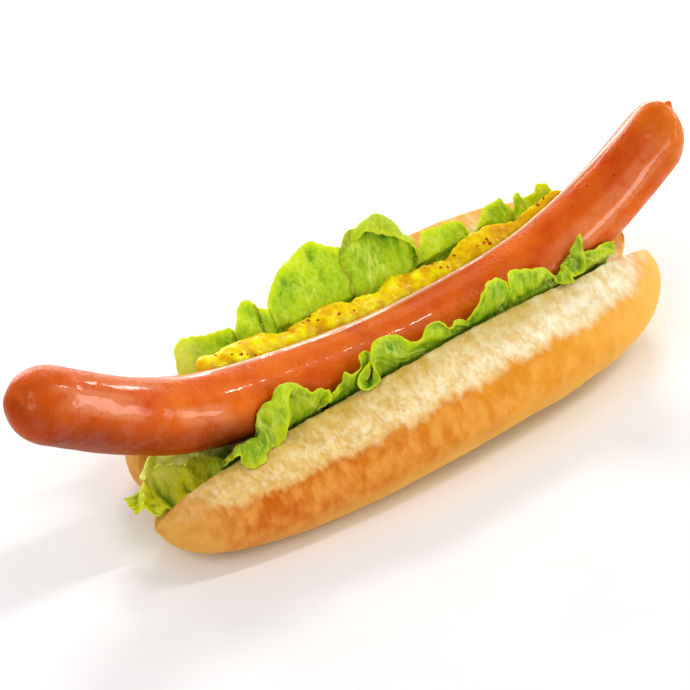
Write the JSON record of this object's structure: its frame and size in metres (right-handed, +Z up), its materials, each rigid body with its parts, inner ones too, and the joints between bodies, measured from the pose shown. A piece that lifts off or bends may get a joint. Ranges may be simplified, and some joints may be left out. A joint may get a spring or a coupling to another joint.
{
  "type": "hot dog",
  "caption": "Opened bread roll holding a long curved sausage, with a bead of mustard along its back and ruffled lettuce on both sides.",
  "frame": {"origin": "on the roll's flat underside, in the upright middle plane that the sausage's length lies in", "axes": "+X along the roll and the sausage, towards the sausage end with the twisted tip; +Y to the side where the mustard lies; +Z up"},
  "size_m": [0.2228, 0.0695, 0.0725],
  "materials": {
    "bread": "baked golden crust outside, pale open crumb on the cut faces",
    "sausage": "moist glossy casing, mottled orange brown",
    "mustard": "wet lumpy paste with darker grains",
    "lettuce": "satin leaf with light veins and pale thin edges"
  },
  "bodies": {
    "root": {"bun": "bread", "sausage": "sausage", "mustard": "mustard", "lettuce_left_end": "lettuce", "lettuce_front_left": "lettuce", "lettuce_front_middle": "lettuce", "lettuce_front_right": "lettuce", "lettuce_back_left": "lettuce", "lettuce_back_middle": "lettuce", "lettuce_back_right": "lettuce"}
  },
  "joints": []
}
